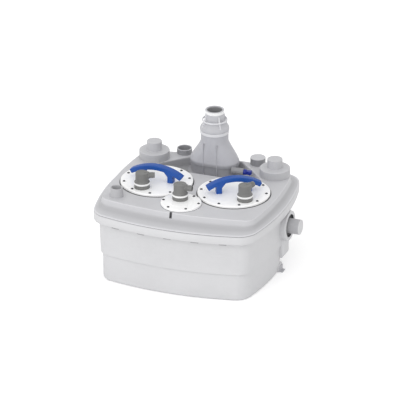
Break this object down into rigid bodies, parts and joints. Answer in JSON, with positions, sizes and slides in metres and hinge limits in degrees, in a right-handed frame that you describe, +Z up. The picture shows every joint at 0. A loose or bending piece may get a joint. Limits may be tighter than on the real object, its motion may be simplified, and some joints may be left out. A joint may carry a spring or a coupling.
{
  "type": "twin-pump lifting station",
  "caption": "Floor-standing waste-water lifting station: bowed tank with grinder pumps under round covers, lifting handles, level tubes, stepped inlets and a discharge collector with flaps.",
  "frame": {"origin": "on the floor under the middle of the tank's rim", "axes": "+Z up, front towards -Y, the two pumps side by side along X"},
  "size_m": [0.678, 0.5678, 0.4805],
  "materials": {
    "tub_plastic": "light grey moulded polyethylene",
    "lid_plastic": "light grey moulded polyethylene",
    "sleeve_rubber": "grey soft moulded sleeve",
    "cover_plastic": "white moulded plastic",
    "seal_rubber": "black rubber",
    "clip_plastic": "dark plastic",
    "handle_plastic": "blue moulded plastic",
    "knob_plastic": "dark blue moulded plastic",
    "head_plastic": "mid grey moulded plastic",
    "dark_steel": "dark coated steel",
    "steel": "stainless steel",
    "cast_iron": "cast iron",
    "winding": "lacquered laminations and copper windings"
  },
  "bodies": {
    "tank": {"tub": "tub_plastic", "lid": "lid_plastic", "open_pipes": "lid_plastic", "rim_gasket": "seal_rubber", "rim_clips": "clip_plastic", "side_inlet_left": "lid_plastic", "side_inlet_right": "lid_plastic", "floor_bracket_left": "dark_steel", "floor_bracket_right": "dark_steel", "cover_left": "cover_plastic", "cover_right": "cover_plastic", "cover_middle": "cover_plastic", "cover_seal_left": "seal_rubber", "cover_seal_right": "seal_rubber", "cover_seal_middle": "seal_rubber", "cover_screws": "dark_steel", "handle_left": "handle_plastic", "handle_right": "handle_plastic", "handle_studs": "steel", "level_head_left": "head_plastic", "level_head_right": "head_plastic", "level_head_middle": "head_plastic", "head_clamp_left": "cover_plastic", "head_clamp_right": "cover_plastic", "head_clamp_middle": "cover_plastic", "level_tube_left": "head_plastic", "level_tube_right": "head_plastic", "level_tube_middle": "head_plastic", "collector_body": "lid_plastic", "collector_seal": "seal_rubber", "collector_screws": "steel", "valve_seat": "cover_plastic", "outlet_sleeve": "sleeve_rubber", "lower_clamp": "cover_plastic", "upper_clamp": "cover_plastic", "motor_can_left": "steel", "motor_can_right": "steel", "stator_left": "winding", "stator_right": "winding", "upper_bearing_left": "steel", "upper_bearing_right": "steel", "lower_bearing_left": "steel", "lower_bearing_right": "steel", "shaft_seal_left": "seal_rubber", "shaft_seal_right": "seal_rubber", "volute_left": "cast_iron", "volute_right": "cast_iron", "cutter_plate_left": "steel", "cutter_plate_right": "steel", "riser_left": "lid_plastic", "riser_right": "lid_plastic"},
    "rotor_left": {"rotor_shaft_left": "steel", "impeller_left": "cast_iron", "cutter_blade_left": "steel"},
    "rotor_right": {"rotor_shaft_right": "steel", "impeller_right": "cast_iron", "cutter_blade_right": "steel"},
    "flap_left_body": {"flap_left": "seal_rubber"},
    "flap_right_body": {"flap_right": "seal_rubber"},
    "drain_cock": {"drain_knob": "knob_plastic"}
  },
  "joints": [
    {"name": "rotor_left_spin", "type": "hinge", "parent": "tank", "child": "rotor_left", "pos_m": [-0.1335, -0.01315, 0.15], "axis": [0, 0, 1], "continuous": true},
    {"name": "rotor_right_spin", "type": "hinge", "parent": "tank", "child": "rotor_right", "pos_m": [0.1335, -0.01315, 0.15], "axis": [0, 0, 1], "continuous": true},
    {"name": "flap_left_swing", "type": "hinge", "parent": "tank", "child": "flap_left_body", "pos_m": [-0.036, 0.19906, 0.261], "axis": [-1, 0, 0], "range_deg": [0, 70]},
    {"name": "flap_right_swing", "type": "hinge", "parent": "tank", "child": "flap_right_body", "pos_m": [0.036, 0.19906, 0.261], "axis": [-1, 0, 0], "range_deg": [0, 70]},
    {"name": "drain_cock_turn", "type": "hinge", "parent": "tank", "child": "drain_cock", "pos_m": [0.111, 0.14455, 0.285], "axis": [1, 0, 0], "range_deg": [0, 90]}
  ]
}
